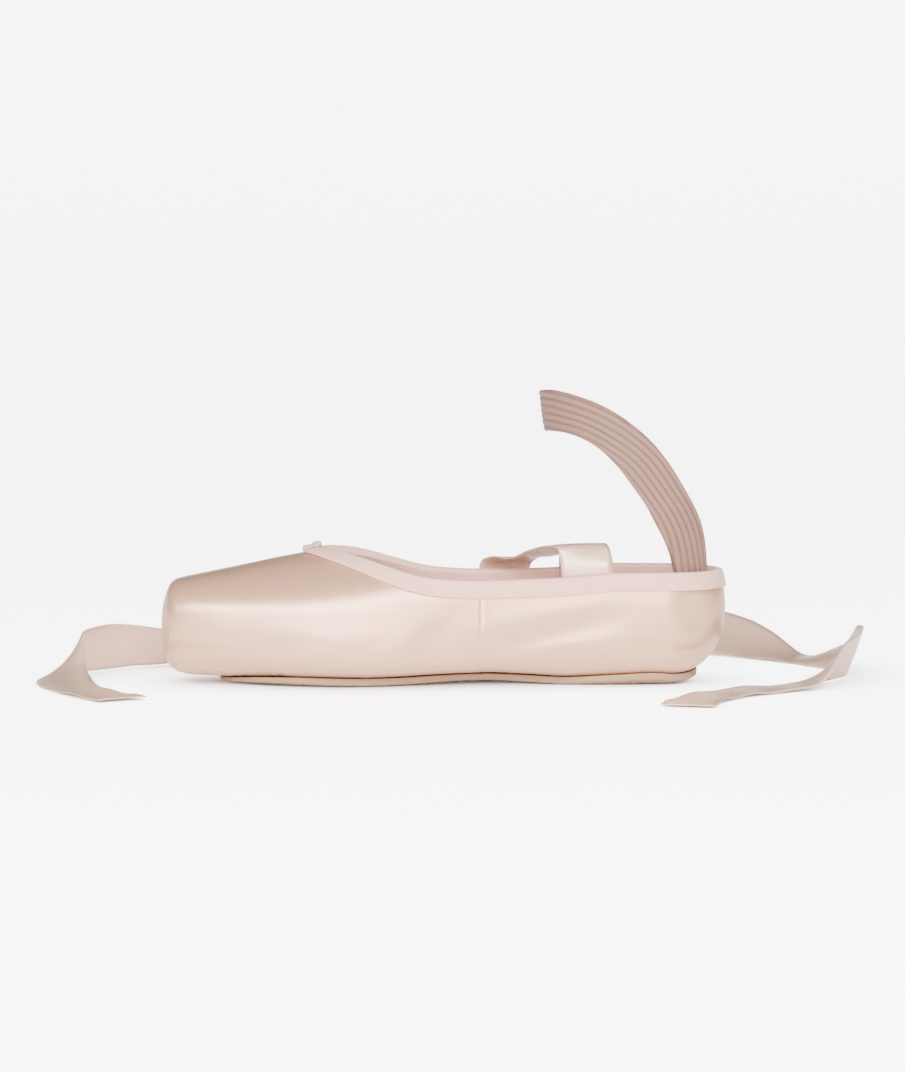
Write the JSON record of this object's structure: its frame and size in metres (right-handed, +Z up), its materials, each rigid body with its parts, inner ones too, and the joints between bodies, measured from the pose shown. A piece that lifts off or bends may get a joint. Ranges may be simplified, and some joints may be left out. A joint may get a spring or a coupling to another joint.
{
  "type": "pointe shoe",
  "caption": "Satin pointe shoe, empty and flat on its leather sole: stiff toe box, flat platform, bound collar, elastic over the ankle, loose ribbons.",
  "frame": {"origin": "on the floor under the middle of the shoe's length and width", "axes": "+X towards the toe, +Y to the wearer's left, +Z up"},
  "size_m": [0.3541, 0.2143, 0.124],
  "materials": {
    "peach_satin": "glossy peach satin",
    "sole_leather": "buffed tan leather",
    "sock_lining": "matt cotton",
    "binding_tape": "fine matt tape",
    "drawstring_cord": "cotton cord",
    "ribbed_elastic": "ribbed elastic",
    "ribbon_satin": "glossy satin ribbon"
  },
  "bodies": {
    "root": {"upper": "peach_satin", "outsole": "sole_leather", "insole": "sock_lining", "topline_binding": "binding_tape", "drawstring_knot": "drawstring_cord", "elastic_strap": "ribbed_elastic", "ribbon_left": "ribbon_satin", "ribbon_right": "ribbon_satin"}
  },
  "joints": []
}
